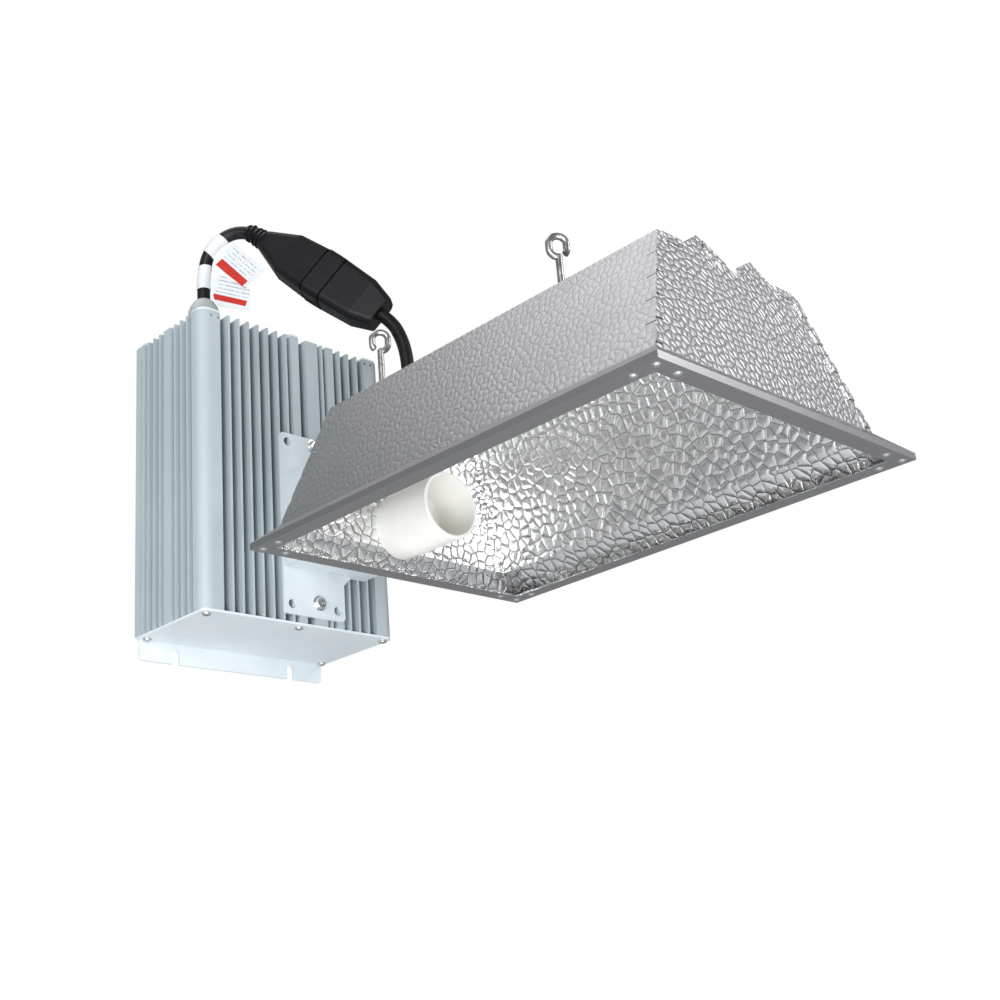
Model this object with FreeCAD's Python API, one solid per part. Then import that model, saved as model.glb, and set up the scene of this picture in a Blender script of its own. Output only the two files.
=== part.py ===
import FreeCAD, Part
import math
import os

os.makedirs("parts", exist_ok=True)
V = FreeCAD.Vector

# Frame: origin on the wall plane behind the ballast, in the middle of the
# ballast's width and height.  +X runs away from the wall along the hood,
# +Y across the hood, +Z up.  All sizes are in millimetres.

# Ballast
ballast_depth = 103.0
ballast_width = 198.5
ballast_height = 271.5
plate_thickness = 2.0
fin_depth = 14.0
fin_thickness = 2.2
fin_pitch = 10.1
front_column = 19.5
housing_wall = 3.5
back_flange_height = 17.5
notch_width = 7.0
notch_spacing = 120.0
# Lead and connector
cord_diameter = 11.5
# Hood
rim_length = 393.0
rim_width = 280.0
hood_height = 136.0
ballast_gap = 100.0
hood_y = 14.75
rim_z = -120.25
sheet_thickness = 0.8
bracket_thickness = 2.0
# Socket
socket_diameter = 55.0
socket_length = 48.0
# Eye bolts
eye_wire = 5.0

hood_x = ballast_depth + ballast_gap
cord_radius = cord_diameter / 2.0
half_height = ballast_height / 2.0
half_width = ballast_width / 2.0


def save(shape, name):
    if not shape.isValid():
        print("invalid:", name)
    shape.exportStep("parts/" + name + ".step")
    print(name, "solids", len(shape.Solids), "volume cm3", round(shape.Volume / 1000.0, 2))


def box(x0, x1, y0, y1, z0, z1):
    return Part.makeBox(x1 - x0, y1 - y0, z1 - z0, V(x0, y0, z0))


def rod(radius, start, end):
    axis = end.sub(start)
    return Part.makeCylinder(radius, axis.Length, start, axis)


def fused(pieces):
    whole = pieces[0]
    if len(pieces) > 1:
        whole = whole.multiFuse(pieces[1:])
    return whole.removeSplitter()


def prism(points, direction):
    face = Part.Face(Part.makePolygon(points + [points[0]]))
    return face.extrude(direction)


def sheet_outline(points, thickness):
    # Closed outline of a folded sheet: the given face line, and its copy
    # one thickness to the right of the walking direction.
    other = []
    count = len(points)
    for i in range(count):
        ends = []
        if i > 0:
            ends.append((points[i - 1], points[i]))
        if i < count - 1:
            ends.append((points[i], points[i + 1]))
        normals = []
        for a, b in ends:
            length = math.hypot(b[0] - a[0], b[1] - a[1])
            normals.append(((b[1] - a[1]) / length, -(b[0] - a[0]) / length))
        if len(normals) == 1:
            shift = (normals[0][0] * thickness, normals[0][1] * thickness)
        else:
            n1, n2 = normals
            scale = thickness / (1.0 + n1[0] * n2[0] + n1[1] * n2[1])
            shift = ((n1[0] + n2[0]) * scale, (n1[1] + n2[1]) * scale)
        other.append((points[i][0] + shift[0], points[i][1] + shift[1]))
    return other


def cord_tube(route, radius, name):
    # Straight runs joined by tangent arcs.
    edges = []
    radii = []
    start = route[0]
    for i in range(1, len(route) - 1):
        before = route[i].sub(route[i - 1])
        after = route[i + 1].sub(route[i])
        shorter = min(before.Length, after.Length)
        turn = before.getAngle(after)
        back = 0.45 * shorter
        radii.append(back / math.tan(turn / 2.0))
        before.normalize()
        after.normalize()
        entry = route[i].sub(before.multiply(back))
        leave = route[i].add(after.multiply(back))
        arc_radius = radii[-1]
        middle_way = entry.add(leave).multiply(0.5).sub(route[i])
        to_centre = arc_radius / math.cos(turn / 2.0)
        middle_way.normalize()
        middle = route[i].add(middle_way.multiply(to_centre - arc_radius))
        edges.append(Part.LineSegment(start, entry).toShape())
        edges.append(Part.Arc(entry, middle, leave).toShape())
        start = leave
    edges.append(Part.LineSegment(start, route[-1]).toShape())
    path = Part.Wire(edges)
    first = route[1].sub(route[0])
    profile = Part.Wire([Part.makeCircle(radius, route[0], first)])
    tube = path.makePipeShell([profile], True, False)
    expected = math.pi * radius * radius * path.Length
    print(name, "radii", [round(r, 1) for r in radii], "length", round(path.Length, 1),
          "volume ratio", round(tube.Volume / expected, 4))
    return tube


def hexagon(across_flats, height, base):
    corner = across_flats / math.sqrt(3.0)
    points = []
    for k in range(6):
        angle = math.radians(60.0 * k + 30.0)
        points.append(base.add(V(corner * math.cos(angle), corner * math.sin(angle), 0)))
    return prism(points, V(0, 0, height))


def place(shape, origin, direction):
    # Turns a shape made along +Z so that it points along direction.
    turned = shape.copy()
    turned.Placement = FreeCAD.Placement(origin, FreeCAD.Rotation(V(0, 0, 1), direction))
    return turned


def pan_screw(head_radius, head_height, shank_radius, shank_length):
    # Along +Z: the shank goes down from z = 0 and the head stands on it.
    head = Part.makeCylinder(head_radius, head_height)
    head = head.makeFillet(head_height * 0.45, [head.Edges[0]])
    slot = box(-head_radius * 0.6, head_radius * 0.6, -0.45, 0.45,
               head_height - 0.9, head_height + 1)
    cross = box(-0.45, 0.45, -head_radius * 0.6, head_radius * 0.6,
                head_height - 0.9, head_height + 1)
    shank = Part.makeCylinder(shank_radius, shank_length, V(0, 0, -shank_length))
    return head.cut(slot).cut(cross).fuse(shank).removeSplitter()


# --- ballast housing: one finned extrusion, open at both ends ---------------
core_front = ballast_depth - fin_depth
core_side = half_width - fin_depth
extrusion_top = half_height - plate_thickness
column = fin_depth
wide_ribs = [(0.0, 8.0), (18.75, 13.5), (39.5, 7.6)]
side_rib_x = 50.0
side_rib_width = 11.0
side_fin_pitch = 9.4
plate_screw_spots = [(ballast_depth - 7.5, half_width - 7.5),
                     (ballast_depth - 7.5, -half_width + 7.5),
                     (7.5, half_width - 7.5), (7.5, -half_width + 7.5),
                     (ballast_depth - 7.5, 0.0)]
flange_screw_z = [rim_z + 4.8, rim_z + 149.0]
small_hole_spots = [(-88.4, 6.8), (-81.3, 7.2), (81.3, 6.3), (88.4, 5.9)]


def ballast_housing():
    z0, z1 = -extrusion_top, extrusion_top
    pieces = [box(0, core_front, -core_side, core_side, z0, z1)]
    fin_count = int((ballast_width - 2 * front_column - 6) / fin_pitch)
    first = -fin_pitch * (fin_count - 1) / 2.0
    for k in range(fin_count):
        y = first + k * fin_pitch
        clear = True
        for rib_y, rib_width in wide_ribs:
            if abs(y - rib_y) < rib_width / 2.0 + fin_thickness + 1.2:
                clear = False
        if clear:
            pieces.append(box(core_front - 1, ballast_depth, y - fin_thickness / 2,
                              y + fin_thickness / 2, z0, z1))
    for rib_y, rib_width in wide_ribs:
        pieces.append(box(core_front - 1, ballast_depth, rib_y - rib_width / 2,
                          rib_y + rib_width / 2, z0, z1))
    for side in (-1, 1):
        y0, y1 = sorted((side * (core_side - 1), side * half_width))
        for k in range(3):
            for way in (-1, 1):
                x = side_rib_x + way * (12.0 + side_fin_pitch * k)
                pieces.append(box(x - fin_thickness / 2, x + fin_thickness / 2, y0, y1, z0, z1))
        pieces.append(box(side_rib_x - side_rib_width / 2, side_rib_x + side_rib_width / 2,
                          y0, y1, z0, z1))
        pieces.append(box(0, column, y0, y1, z0, z1))
        y0, y1 = sorted((side * (half_width - front_column), side * half_width))
        front = box(core_front - 1, ballast_depth, y0, y1, z0, z1)
        front = front.makeFillet(9.5, [e for e in front.Edges
                                       if abs(e.BoundBox.XMin - ballast_depth) < 0.01
                                       and abs(e.BoundBox.YMin - side * half_width) < 0.01
                                       and e.BoundBox.ZLength > 10])
        pieces.append(front)
    body = fused(pieces)
    cavity = box(housing_wall, core_front - housing_wall, -core_side + housing_wall,
                 core_side - housing_wall, z0 - 1, z1 + 1)
    body = body.cut(cavity)
    for x, y in plate_screw_spots:
        body = body.cut(Part.makeCylinder(1.75, 2 * z1 + 2, V(x, y, z0 - 1)))
    for side in (-1, 1):
        y0, y1 = sorted((side * (half_width - 1.5), side * (half_width + 1)))
        body = body.cut(box(7.8, 9.6, y0, y1, z0 - 1, z1 - 12))
    for z in flange_screw_z:
        body = body.cut(rod(2.5, V(core_front + 1, hood_y, z), V(ballast_depth + 1, hood_y, z)))
    for y, below in small_hole_spots:
        z = half_height - below
        body = body.cut(rod(1.3, V(ballast_depth - 3, y, z), V(ballast_depth + 1, y, z)))
    return body


# --- end plates ---------------------------------------------------------------
# The lower one covers the fins and has a bent flange with two open notches.
# The upper one covers the core only, with an ear over each screw column.
gland_x = 63.2
gland_y = -69.4
gland_top = half_height + 29.5
gland_thread = 8.0
locknut_flats = 20.0
inlet_x = 45.0
inlet_y = 45.0


def bottom_plate():
    z0 = extrusion_top
    plate = box(0, ballast_depth - 1.2, -half_width + 1.2, half_width - 1.2, z0, half_height)
    corners = [e for e in plate.Edges if e.BoundBox.ZLength > 1.5
               and e.BoundBox.XMin > ballast_depth - 3]
    plate = plate.makeFillet(5.0, corners)
    flange = box(0, plate_thickness, -half_width + 3.7, half_width - 3.7, half_height - 1,
                 half_height + back_flange_height)
    flange = flange.makeFillet(4.0, [e for e in flange.Edges if e.BoundBox.XLength > 1
                                     and e.BoundBox.ZMin > half_height + 2])
    plate = plate.fuse(flange)
    for side in (-1, 1):
        y = side * notch_spacing / 2.0
        base = half_height + 8.5
        cut = box(-1, plate_thickness + 1, y - notch_width / 2, y + notch_width / 2, base,
                  half_height + back_flange_height + 1)
        hole = rod(notch_width / 2, V(-1, y, base), V(plate_thickness + 1, y, base))
        plate = plate.cut(cut).cut(hole)
    for x, y in plate_screw_spots:
        plate = plate.cut(Part.makeCylinder(2.0, 6, V(x, y, z0 - 2)))
    return plate.removeSplitter().mirror(V(0, 0, 0), V(0, 0, 1))


def top_plate():
    z0 = extrusion_top
    pieces = [box(0, core_front, -core_side, core_side, z0, half_height),
              box(core_front - 1, ballast_depth - 0.6, -4.0, 4.0, z0, half_height)]
    for side in (-1, 1):
        y0, y1 = sorted((side * (core_side - 1), side * (half_width - 0.6)))
        pieces.append(box(0, column, y0, y1, z0, half_height))
        y0, y1 = sorted((side * (half_width - front_column), side * (half_width - 0.6)))
        ear = box(core_front - 1, ballast_depth - 0.6, y0, y1, z0, half_height)
        pieces.append(ear.makeFillet(8.9, [e for e in ear.Edges if e.BoundBox.ZLength > 1
                                           and e.BoundBox.XMin > ballast_depth - 3
                                           and abs(e.BoundBox.YMin) > core_side + 5]))
    plate = fused(pieces)
    for x, y in plate_screw_spots:
        plate = plate.cut(Part.makeCylinder(2.0, 6, V(x, y, z0 - 2)))
    plate = plate.cut(Part.makeCylinder(gland_thread, 6, V(gland_x, gland_y, z0 - 2)))
    plate = plate.cut(box(inlet_x - 10.2, inlet_x + 10.2, inlet_y - 14.2, inlet_y + 14.2,
                          z0 - 1, half_height + 1))
    for side in (-1, 1):
        plate = plate.cut(Part.makeCylinder(1.5, 6, V(inlet_x, inlet_y + side * 20, z0 - 2)))
    return plate


def plate_screws(top):
    screws = []
    for x, y in plate_screw_spots:
        screw = pan_screw(3.6, 2.2, 1.75, 12.0)
        if top:
            screw.translate(V(x, y, half_height))
        else:
            screw = screw.mirror(V(0, 0, 0), V(0, 0, 1))
            screw.translate(V(x, y, -half_height))
        screws.append(screw)
    return Part.makeCompound(screws)


# --- mains inlet in the top plate: three-pin appliance inlet ----------------
def mains_inlet():
    z = half_height
    flange = box(inlet_x - 12.5, inlet_x + 12.5, inlet_y - 25, inlet_y + 25, z, z + 2.5)
    flange = flange.makeFillet(3.0, [e for e in flange.Edges if e.BoundBox.ZLength > 2])
    body = box(inlet_x - 10, inlet_x + 10, inlet_y - 14, inlet_y + 14, z - 20, z + 0.1)
    inlet = flange.fuse(body)
    cavity = box(inlet_x - 8, inlet_x + 8, inlet_y - 12, inlet_y + 12, z - 15, z + 3)
    inlet = inlet.cut(cavity)
    for side in (-1, 1):
        inlet = inlet.cut(Part.makeCylinder(1.5, 9, V(inlet_x, inlet_y + side * 20, z - 4)))
    for px, py in ((0.0, 0.0), (-3.0, -7.0), (-3.0, 7.0)):
        inlet = inlet.cut(box(inlet_x + px - 2, inlet_x + px + 2, inlet_y + py - 1,
                              inlet_y + py + 1, z - 21, z - 14))
    return inlet.removeSplitter()


def inlet_pins():
    pins = []
    z = half_height
    for px, py in ((0.0, 0.0), (-3.0, -7.0), (-3.0, 7.0)):
        pins.append(box(inlet_x + px - 2, inlet_x + px + 2, inlet_y + py - 1,
                        inlet_y + py + 1, z - 26, z - 3))
    return Part.makeCompound(pins)


def inlet_screws():
    screws = []
    for side in (-1, 1):
        screw = pan_screw(2.8, 1.8, 1.5, 9.0)
        screw.translate(V(inlet_x, inlet_y + side * 20, half_height + 2.5))
        screws.append(screw)
    return Part.makeCompound(screws)


# --- cable gland -------------------------------------------------------------
def cable_gland():
    z = half_height
    thread = Part.makeCylinder(gland_thread, 12.0, V(gland_x, gland_y, z - 12))
    collar = Part.makeCylinder(13.0, 4.0, V(gland_x, gland_y, z))
    nut = Part.makeCylinder(13.8, 14.0, V(gland_x, gland_y, z + 4))
    dome = []
    for low, high, r_low, r_high in ((18.0, 22.5, 13.8, 12.2), (22.5, 27.0, 12.2, 9.6),
                                     (27.0, gland_top - z, 9.6, 7.0)):
        dome.append(Part.makeCone(r_low, r_high, high - low, V(gland_x, gland_y, z + low)))
    ribs = []
    for k in range(12):
        angle = math.radians(30.0 * k)
        ribs.append(Part.makeCylinder(0.8, 7.0, V(gland_x + 13.6 * math.cos(angle),
                                                  gland_y + 13.6 * math.sin(angle), z + 5)))
    body = fused([thread, collar, nut] + dome + ribs)
    body = body.cut(Part.makeCylinder(cord_radius, 28, V(gland_x, gland_y, z - 20)))
    return body.cut(cord_tube(lead_route, cord_radius, "gland bore"))


def gland_locknut():
    nut = hexagon(locknut_flats, 5.0, V(gland_x, gland_y, extrusion_top - 5.0))
    return nut.cut(Part.makeCylinder(gland_thread, 9, V(gland_x, gland_y, extrusion_top - 7)))


# --- sealed electronics inside the housing ----------------------------------
board_x = 14.0
board_thickness = 1.6


def ballast_board():
    board = box(board_x, board_x + board_thickness, -75, 75, -120, 95)
    for y in (-68, 68):
        for z in (-112, 87):
            board = board.cut(rod(1.6, V(board_x - 1, y, z), V(board_x + 5, y, z)))
    return board


def board_standoffs():
    posts = []
    for y in (-68, 68):
        for z in (-112, 87):
            post = rod(3.5, V(housing_wall, y, z), V(board_x, y, z))
            posts.append(post.fuse(rod(1.6, V(board_x - 0.5, y, z),
                                       V(board_x + board_thickness + 1.5, y, z))))
    return Part.makeCompound(posts)


def ballast_choke():
    x = board_x + board_thickness
    core = box(x, x + 42, -60, -10, -100, -50)
    winding = rod(24.0, V(x + 6, -35, -75), V(x + 36, -35, -75))
    window = box(x + 4, x + 38, -60, -10, -92, -58)
    return core.cut(window.cut(winding)).removeSplitter()


def ballast_transformer():
    x = board_x + board_thickness
    core = box(x, x + 36, 12, 52, -60, -20)
    bobbin = box(x + 4, x + 32, 6, 58, -54, -26)
    return core.fuse(bobbin).removeSplitter()


def ballast_capacitors():
    x = board_x + board_thickness
    cans = []
    for k in range(3):
        cans.append(rod(12.5, V(x, -45 + 30 * k, 40), V(x + 40, -45 + 30 * k, 40)))
    return Part.makeCompound(cans)


# --- the lead rises from the gland, bends over and comes down to the bracket,
# --- close to one upright plane ----------------------------------------------
route_x = 75.0
route_y = -70.0
along = V(132.2, 109.9, 0)
along.normalize()
side_way = V(along.y, -along.x, 0)


def in_plane(s, z, out=0.0):
    return V(route_x + along.x * s + side_way.x * out,
             route_y + along.y * s + side_way.y * out, z)


connector_fall = math.radians(40.71)
connector_heading = V(along).multiply(math.cos(connector_fall))
connector_heading.z = -math.sin(connector_fall)
connector_start = in_plane(51.08, half_height + 77.68)
cord_in_connector = 6.0
lead_route = [V(gland_x, gland_y, half_height + 6.0),
              in_plane(-8.5, half_height + 21.5, -8.0), in_plane(-8.8, half_height + 38.0, -7.9),
              in_plane(-7.8, half_height + 54.4, -7.0), in_plane(-5.8, half_height + 67.6, -5.5),
              in_plane(-0.8, half_height + 77.6, -3.8), in_plane(7.5, half_height + 85.4, -2.2),
              in_plane(17.7, half_height + 90.2, -1.0), in_plane(28.5, half_height + 90.9, -0.3),
              in_plane(39.6, half_height + 87.0),
              connector_start.sub(V(connector_heading).multiply(3.0)),
              connector_start.add(V(connector_heading).multiply(cord_in_connector))]
relief_length = 20.0
cross_way = side_way.cross(connector_heading)
if cross_way.z < 0:
    cross_way = cross_way.multiply(-1.0)
connector_length = 132.8


def in_connector(t, w, out=0.0):
    point = connector_start.add(V(connector_heading).multiply(t))
    point = point.add(V(cross_way).multiply(w))
    return point.add(V(side_way).multiply(out))


def rounded_section(t, half_w, half_t, corner):
    # Rounded rectangle across the connector at distance t along it.
    wires = []
    centres = [(half_w - corner, half_t - corner, 0), (-half_w + corner, half_t - corner, 90),
               (-half_w + corner, -half_t + corner, 180), (half_w - corner, -half_t + corner, 270)]
    arcs = []
    for w, o, start in centres:
        points = []
        for angle in (start, start + 45, start + 90):
            a = math.radians(angle)
            points.append(in_connector(t, w + corner * math.cos(a), o + corner * math.sin(a)))
        arcs.append(points)
    for k in range(4):
        wires.append(Part.Arc(arcs[k][0], arcs[k][1], arcs[k][2]).toShape())
        following = arcs[(k + 1) % 4][0]
        wires.append(Part.LineSegment(arcs[k][2], following).toShape())
    return Part.Wire(wires)


def connector_run(stations):
    sections = [rounded_section(*s) for s in stations]
    return Part.makeLoft(sections, True, True)


def connector_block(t0, t1, w0, w1, half_out):
    points = [in_connector(t0, w0, -half_out), in_connector(t1, w0, -half_out),
              in_connector(t1, w1, -half_out), in_connector(t0, w1, -half_out)]
    return prism(points, V(side_way).multiply(2 * half_out))


def ballast_lead():
    return cord_tube(lead_route, cord_radius, "ballast_lead")


def back_along_lead(distance):
    # Point on the lead and its direction there, measured back from the connector.
    node = connector_start
    for point in lead_route[-2::-1]:
        run = node.sub(point)
        length = run.Length
        run.normalize()
        if distance <= length:
            return node.sub(V(run).multiply(distance)), run
        distance -= length
        node = point


def lead_relief_upper():
    pieces = []
    for k in range(5):
        back = relief_length - 4.15 * k
        radius = 7.9 + 0.42 * k
        start, heading = back_along_lead(back)
        pieces.append(Part.makeCone(radius - 0.9, radius + 0.2, 2.6, start, heading))
        start, heading = back_along_lead(back - 2.0)
        pieces.append(Part.makeCylinder(radius - 1.1, min(2.4, back - 2.0), start, heading))
    relief = fused(pieces)
    return relief.cut(cord_tube(lead_route, cord_radius, "relief bore"))


latch_pivot_t = 71.0
latch_w = 20.6
latch_top = 23.6
latch_half_width = 6.0
pivot_radius = 1.2


def latch_pocket(sign):
    low, high = sorted((sign * 18.6, sign * 26.0))
    pocket = connector_block(61.5, 81.0, low, high, latch_half_width + 0.4)
    return pocket


def connector_receptacle():
    cone = connector_run([(0.0, 9.7, 8.6, 6.0), (29.5, 20.8, 13.0, 6.0), (60.0, 22.8, 14.5, 6.0)])
    groove = connector_run([(60.0, 21.0, 12.8, 5.0), (62.0, 21.0, 12.8, 5.0)])
    collar = connector_run([(62.0, 23.4, 15.0, 6.0), (72.0, 23.4, 15.0, 6.0)])
    body = fused([cone, groove, collar])
    body = body.cut(connector_block(54.0, 73.0, -14.0, 14.0, 8.0))
    body = body.cut(rod(cord_radius, in_connector(-1, 0), in_connector(cord_in_connector, 0)))
    for w in (-8.0, 0.0, 8.0):
        body = body.cut(rod(1.9, in_connector(42.0, w), in_connector(56, w)))
    for sign in (-1, 1):
        body = body.cut(latch_pocket(sign))
    return body.removeSplitter()


def connector_plug():
    collar = connector_run([(72.0, 23.4, 15.0, 6.0), (80.0, 23.2, 14.8, 6.0)])
    groove = connector_run([(80.0, 21.2, 12.8, 5.0), (82.0, 21.2, 12.8, 5.0)])
    cone = connector_run([(82.0, 23.0, 14.6, 6.0), (113.0, 21.4, 13.6, 6.0),
                          (connector_length, 15.5, 11.0, 6.0)])
    nose = connector_block(54.3, 72.5, -13.7, 13.7, 7.7)
    body = fused([collar, groove, cone, nose])
    for w in (-8.0, 0.0, 8.0):
        body = body.cut(rod(1.9, in_connector(50.0, w), in_connector(66, w)))
    body = body.cut(rod(cord_radius, in_connector(connector_length - cord_in_connector, 0),
                        in_connector(connector_length + 1, 0)))
    for sign in (-1, 1):
        body = body.cut(latch_pocket(sign))
        for side in (-1, 1):
            w = sign * latch_w
            low = in_connector(latch_pivot_t + 5.0, w, side * (latch_half_width - 1.0))
            high = in_connector(latch_pivot_t + 5.0, w, side * (latch_half_width + 2.4))
            body = body.cut(rod(pivot_radius + 0.05, low, high))
    return body.removeSplitter()


def connector_pins():
    pins = []
    for w in (-8.0, 0.0, 8.0):
        pins.append(rod(1.9, in_connector(43.0, w), in_connector(66.0, w)))
    return Part.makeCompound(pins)


def connector_latch(sign):
    # Rocking latch, hinged on two stub pins in the plug half.
    low, high = sorted((sign * 19.9, sign * 22.6))
    lever = connector_block(62.2, 80.4, low, high, latch_half_width)
    t_pivot = latch_pivot_t + 5.0
    stubs = rod(pivot_radius, in_connector(t_pivot, sign * latch_w, -latch_half_width - 2.0),
                in_connector(t_pivot, sign * latch_w, latch_half_width + 2.0))
    ribs = []
    for k in range(3):
        l2, h2 = sorted((sign * 22.0, sign * 23.4))
        ribs.append(connector_block(74.6 + 1.9 * k, 75.5 + 1.9 * k, l2, h2,
                                    latch_half_width - 0.6))
    return fused([lever, stubs] + ribs)


# --- hood lead, grommet and lamp wires ---------------------------------------
connector_end = in_connector(connector_length, 0)
end_s = connector_end.sub(V(route_x, route_y, connector_end.z)).dot(along)
hood_route = [in_connector(connector_length - cord_in_connector, 0),
              in_plane(end_s + 9.0, connector_end.z - 9.0 * 0.86),
              in_plane(168.5, 101.5), in_plane(172.0, 84.0), in_plane(172.6, 62.0),
              in_plane(172.0, 36.0), in_plane(171.9, 10.0), in_plane(171.9, rim_z + 103.0)]
upper_web_top = rim_z + 115.0


def hood_lead():
    return cord_tube(hood_route, cord_radius, "hood_lead")


def lead_grommet():
    spot = hood_route[-1]
    low = V(spot.x, spot.y, upper_web_top - bracket_thickness - 2.5)
    ring = Part.makeCylinder(9.0, bracket_thickness + 5.0, low)
    waist = Part.makeCylinder(12.0, bracket_thickness, V(spot.x, spot.y,
                                                         upper_web_top - bracket_thickness))
    waist = waist.cut(Part.makeCylinder(7.5, bracket_thickness, V(spot.x, spot.y,
                                                                  upper_web_top
                                                                  - bracket_thickness)))
    ring = ring.cut(waist)
    return ring.cut(Part.makeCylinder(cord_radius, 20, V(low.x, low.y, low.z - 5)))


# --- hood: section lines across (y, z) and along (x, z) ---------------------
skirt_inset = 22.0
skirt_top = 21.0
lip = 5.0
rim_flange = 14.0
slit_length = 7.5
half_rim = rim_width / 2.0
shoulder_y = 76.0
shoulder_z = hood_height - 13.0
ridge_foot_y = 47.0
ridge_y = 30.0
valley_z = hood_height - 18.5
near_end_inset = 9.0
near_end_lean = 0.12
far_end_inset = 17.5
far_end_lean = 0.18

cross_line = [(-half_rim + rim_flange, 0.0), (-half_rim, 0.0), (-half_rim, lip),
              (-half_rim + skirt_inset, skirt_top), (-shoulder_y, shoulder_z),
              (-ridge_foot_y, shoulder_z), (-ridge_y, hood_height), (0.0, valley_z),
              (ridge_y, hood_height), (ridge_foot_y, shoulder_z), (shoulder_y, shoulder_z),
              (half_rim - skirt_inset, skirt_top), (half_rim, lip), (half_rim, 0.0),
              (half_rim - rim_flange, 0.0)]
inner_line = sheet_outline(cross_line, sheet_thickness)


def near_wall_x(z):
    return near_end_inset + near_end_lean * (z - skirt_top)


def far_wall_x(z):
    return rim_length - far_end_inset - far_end_lean * (z - skirt_top)


def at_hood(x, y, z):
    return V(hood_x + x, hood_y + y, rim_z + z)


def hood_envelope():
    top = hood_height + 5.0
    outline = [(0, 0), (0, lip), (near_wall_x(skirt_top), skirt_top), (near_wall_x(top), top),
               (far_wall_x(top), top), (far_wall_x(skirt_top), skirt_top), (rim_length, lip),
               (rim_length, 0)]
    points = [at_hood(x, -half_rim - 5, z) for x, z in outline]
    return prism(points, V(0, rim_width + 10, 0))


def end_tabs(wall_x, outward):
    # Tabs of the folded sheet, bent flat against the end panel.
    tabs = []
    edges = [((-half_rim + skirt_inset, skirt_top), (-shoulder_y, shoulder_z), 5),
             ((-shoulder_y, shoulder_z), (-ridge_foot_y, shoulder_z), 1),
             ((-ridge_y, hood_height), (0.0, valley_z), 1),
             ((0.0, valley_z), (ridge_y, hood_height), 1),
             ((ridge_foot_y, shoulder_z), (shoulder_y, shoulder_z), 1),
             ((shoulder_y, shoulder_z), (half_rim - skirt_inset, skirt_top), 5)]
    for a, b, count in edges:
        length = math.hypot(b[0] - a[0], b[1] - a[1])
        d = ((b[0] - a[0]) / length, (b[1] - a[1]) / length)
        inward = (d[1], -d[0])
        pitch = length / count
        for k in range(count):
            s0 = pitch * k + pitch * 0.16
            s1 = pitch * (k + 1) - pitch * 0.16
            outline = [(s0, 0.0), (s1, 0.0), (s1 - 2.5, 6.5), (s0 + 2.5, 6.5)]
            points = []
            for s, depth in outline:
                y = a[0] + d[0] * s + inward[0] * depth
                z = a[1] + d[1] * s + inward[1] * depth
                points.append(at_hood(wall_x(z), y, z))
            tabs.append(prism(points, V(outward).multiply(sheet_thickness)))
    return tabs


near_outward = V(-1, 0, near_end_lean)
near_outward.normalize()
far_outward = V(1, 0, far_end_lean)
far_outward.normalize()
eye_y = 61.5
eye_x_left = 69.0
eye_x_right = 261.0
eye_spots = [(eye_x_left, -eye_y), (eye_x_right, -eye_y), (eye_x_left, eye_y),
             (eye_x_right, eye_y)]


def relief_slits():
    # Short cuts at the folds, between neighbouring tabs of the two long walls.
    low = (half_rim - skirt_inset, skirt_top)
    high = (shoulder_y, shoulder_z)
    length = math.hypot(high[0] - low[0], high[1] - low[1])
    d = ((high[0] - low[0]) / length, (high[1] - low[1]) / length)
    slits = []
    for side in (-1, 1):
        for k in range(1, 5):
            y = low[0] + d[0] * length * k / 5.0
            z = low[1] + d[1] * length * k / 5.0
            for x0, x1 in ((near_wall_x(z) - 2, near_wall_x(z) + slit_length),
                           (far_wall_x(z) - slit_length, far_wall_x(z) + 2)):
                points = []
                for s, out in ((-0.55, -3.0), (0.55, -3.0), (0.55, 3.0), (-0.55, 3.0)):
                    points.append(at_hood(x0, side * (y + d[0] * s + d[1] * out),
                                          z + d[1] * s - d[0] * out))
                slits.append(prism(points, V(x1 - x0, 0, 0)))
    return slits


def hood_body():
    points = [at_hood(0, y, z) for y, z in cross_line + inner_line[::-1]]
    sheet = prism(points, V(rim_length, 0, 0))
    sheet = sheet.common(hood_envelope())
    for x, y in eye_spots:
        sheet = sheet.cut(Part.makeCylinder(2.7, 8, at_hood(x, y, shoulder_z - 4)))
    for x, y in rivet_spots():
        sheet = sheet.cut(Part.makeCylinder(1.6, 3, at_hood(x, y, -1)))
    for slit in relief_slits():
        sheet = sheet.cut(slit)
    tabs = end_tabs(near_wall_x, near_outward) + end_tabs(far_wall_x, far_outward)
    return sheet.multiFuse(tabs).removeSplitter()


def end_panel(near):
    if near:
        line = [(rim_flange, 0.0), (0.0, 0.0), (0.0, lip), (near_wall_x(skirt_top), skirt_top),
                (near_wall_x(hood_height + 5), hood_height + 5)]
        outline = line + sheet_outline(line, sheet_thickness)[::-1]
    else:
        line = [(far_wall_x(hood_height + 5), hood_height + 5),
                (far_wall_x(skirt_top), skirt_top), (rim_length, lip), (rim_length, 0.0),
                (rim_length - rim_flange, 0.0)]
        outline = line + sheet_outline(line, sheet_thickness)[::-1]
    points = [at_hood(x, -half_rim, z) for x, z in outline]
    panel = prism(points, V(0, rim_width, 0))
    room = prism([at_hood(-5, y, z) for y, z in inner_line], V(rim_length + 10, 0, 0))
    floor = box(hood_x - 5, hood_x + rim_length + 5, hood_y - half_rim + rim_flange,
                hood_y + half_rim - rim_flange, rim_z, rim_z + 2)
    panel = panel.common(room.fuse(floor))
    for x, y in rivet_spots():
        panel = panel.cut(Part.makeCylinder(1.6, 3, at_hood(x, y, -1)))
    return panel


# --- corner gussets inside the rim, and the rivets that hold them -----------
gusset_leg = 33.0
gusset_width = 12.0


def rim_corners():
    return [(0.0, -half_rim, 1, 1), (0.0, half_rim, 1, -1), (rim_length, -half_rim, -1, 1),
            (rim_length, half_rim, -1, -1)]


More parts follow.
